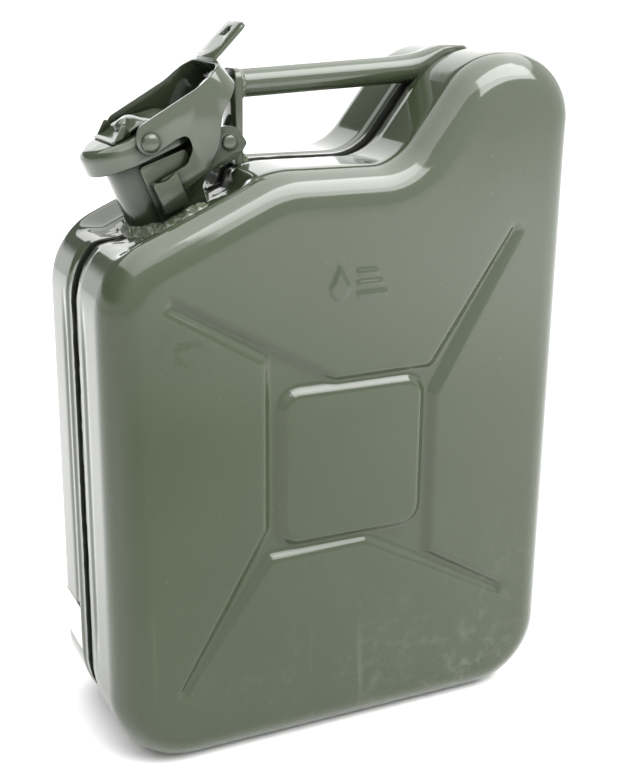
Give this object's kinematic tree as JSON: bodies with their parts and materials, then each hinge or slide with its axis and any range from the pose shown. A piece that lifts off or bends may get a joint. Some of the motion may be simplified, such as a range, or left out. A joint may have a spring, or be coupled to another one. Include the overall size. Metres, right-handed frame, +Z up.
{
  "type": "fuel can",
  "caption": "Flat-sided pressed-steel fuel can in two welded shells, with a recessed top carrying tube and a leaning filler neck closed by a hinged cam-lever cap.",
  "frame": {"origin": "centre of the can's footprint on the surface it stands on", "axes": "+Z up, +X along the width from the spout towards the rear hump, -Y one broad face"},
  "size_m": [0.2802, 0.125, 0.4091],
  "materials": {
    "paint": "gloss",
    "weld": "gloss",
    "hardware": "gloss",
    "gasket": "matt",
    "label": "satin"
  },
  "bodies": {
    "can": {"near_shell": "paint", "far_shell": "paint", "seam_weld": "weld", "filler_neck": "paint", "neck_weld": "weld", "breather_tube": "hardware", "near_neck_bracket": "paint", "far_neck_bracket": "paint", "hinge_pin": "hardware", "handle_tube": "paint", "handle_rear_tongue": "paint", "handle_front_leg": "paint", "handle_welds": "weld", "blank_label": "label"},
    "cap": {"cap_pan": "paint", "cap_gasket": "gasket", "cap_strap": "paint", "strap_rivet": "hardware", "lever_rivets": "hardware"},
    "lever": {"lever_cheeks": "paint", "lever_end_wall": "paint", "lever_tab": "paint"}
  },
  "joints": [
    {"name": "cap_hinge", "type": "hinge", "parent": "can", "child": "cap", "pos_m": [-0.05728, 0, 0.34782], "axis": [0, 1, 0], "range_deg": [0, 70]},
    {"name": "lever_pivot", "type": "hinge", "parent": "cap", "child": "lever", "pos_m": [-0.1023, 0, 0.3498], "axis": [0, -1, 0], "range_deg": [0, 100]}
  ],
  "couplings": [
    {"joint": "cap_hinge", "follows": "lever_pivot", "ratio": 0.7}
  ]
}
